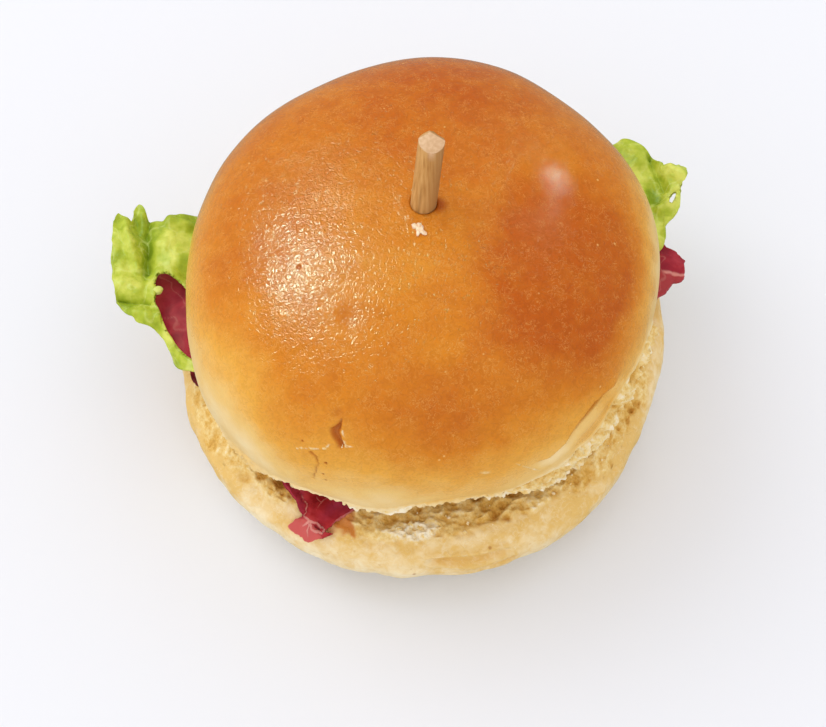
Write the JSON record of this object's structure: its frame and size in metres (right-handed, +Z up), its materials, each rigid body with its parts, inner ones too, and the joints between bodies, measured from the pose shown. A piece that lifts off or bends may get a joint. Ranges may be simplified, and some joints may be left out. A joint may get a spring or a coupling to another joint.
{
  "type": "mini burger",
  "caption": "Small round glazed bun cut in two, filled with a frilly lettuce leaf and folded slices of cured meat, pinned by a short bamboo stick.",
  "frame": {"origin": "middle of the flat spot under the lower half of the bun", "axes": "+Z up along the stack, -Y to the front, where the crown overhangs the cut face least, +X to the right"},
  "size_m": [0.0814, 0.0684, 0.0646],
  "materials": {
    "heel_bread": "soft pale crust with an open crumb on the cut face",
    "crown_bread": "glazed golden brown crust, paler towards the rim",
    "cured_meat": "moist, dark red with pale veins",
    "lettuce": "waxy bright green leaf, paler ribs",
    "bamboo": "bare bamboo with fine lengthwise grain"
  },
  "bodies": {
    "root": {"heel": "heel_bread", "slice_front": "cured_meat", "slice_right": "cured_meat", "slice_left": "cured_meat", "lettuce": "lettuce", "crown": "crown_bread", "skewer": "bamboo"}
  },
  "joints": []
}
